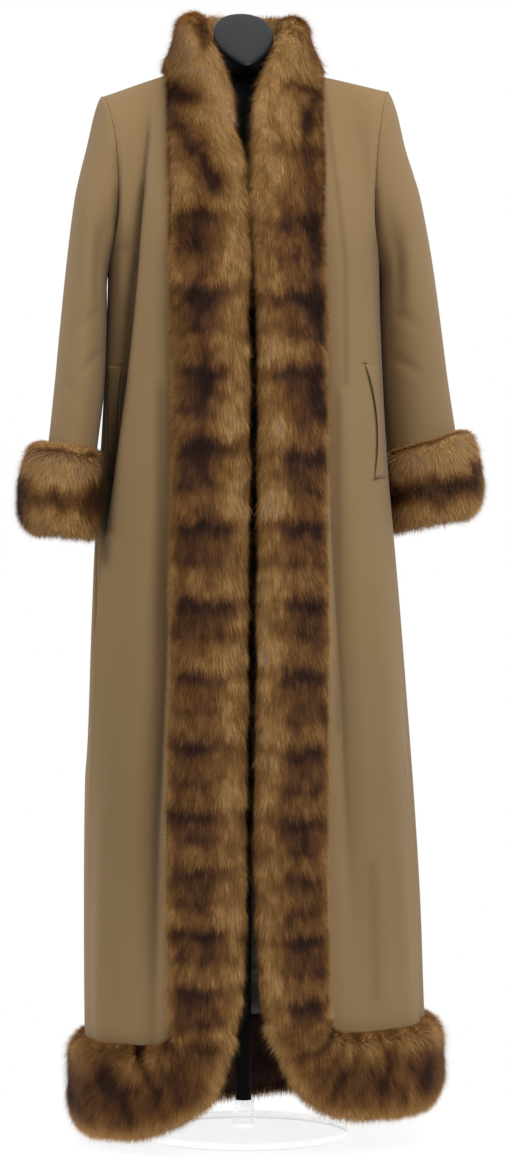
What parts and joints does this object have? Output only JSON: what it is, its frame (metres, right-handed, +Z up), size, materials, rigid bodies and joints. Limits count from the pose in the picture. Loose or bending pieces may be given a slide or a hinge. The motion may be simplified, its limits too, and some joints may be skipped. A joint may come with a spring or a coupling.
{
  "type": "fur-trimmed coat on a dress form",
  "caption": "Floor-length wool coat with a fur shawl collar, front strips, turned cuffs and hem band, hanging open-edged on a limbless dress form with a round base.",
  "frame": {"origin": "middle of the base's underside, below the dress form's axis", "axes": "+Z up along the pole, -Y towards the coat's front opening, +X towards the wearer's left"},
  "size_m": [0.6333, 0.4576, 1.5022],
  "materials": {
    "wool_cloth": "smooth napped camel wool",
    "fur": "long-haired golden to dark brown fur",
    "lining_satin": "black satin",
    "form_black": "black jersey cover",
    "cap_grey": "satin dark grey",
    "stand_black": "satin black",
    "base_glass": "clear glass"
  },
  "bodies": {
    "root": {"back": "wool_cloth", "front_right": "wool_cloth", "front_left": "wool_cloth", "sleeve_right": "wool_cloth", "sleeve_left": "wool_cloth", "pocket_welt_right": "wool_cloth", "pocket_welt_left": "wool_cloth", "fur_collar": "fur", "fur_front_right": "fur", "fur_front_left": "fur", "fur_hem_right": "fur", "fur_hem_left": "fur", "fur_hem_back": "fur", "fur_cuff_right": "fur", "fur_cuff_left": "fur", "lining_back": "lining_satin", "form_torso": "form_black", "form_cap": "cap_grey", "form_pole": "stand_black", "form_base": "base_glass"}
  },
  "joints": []
}
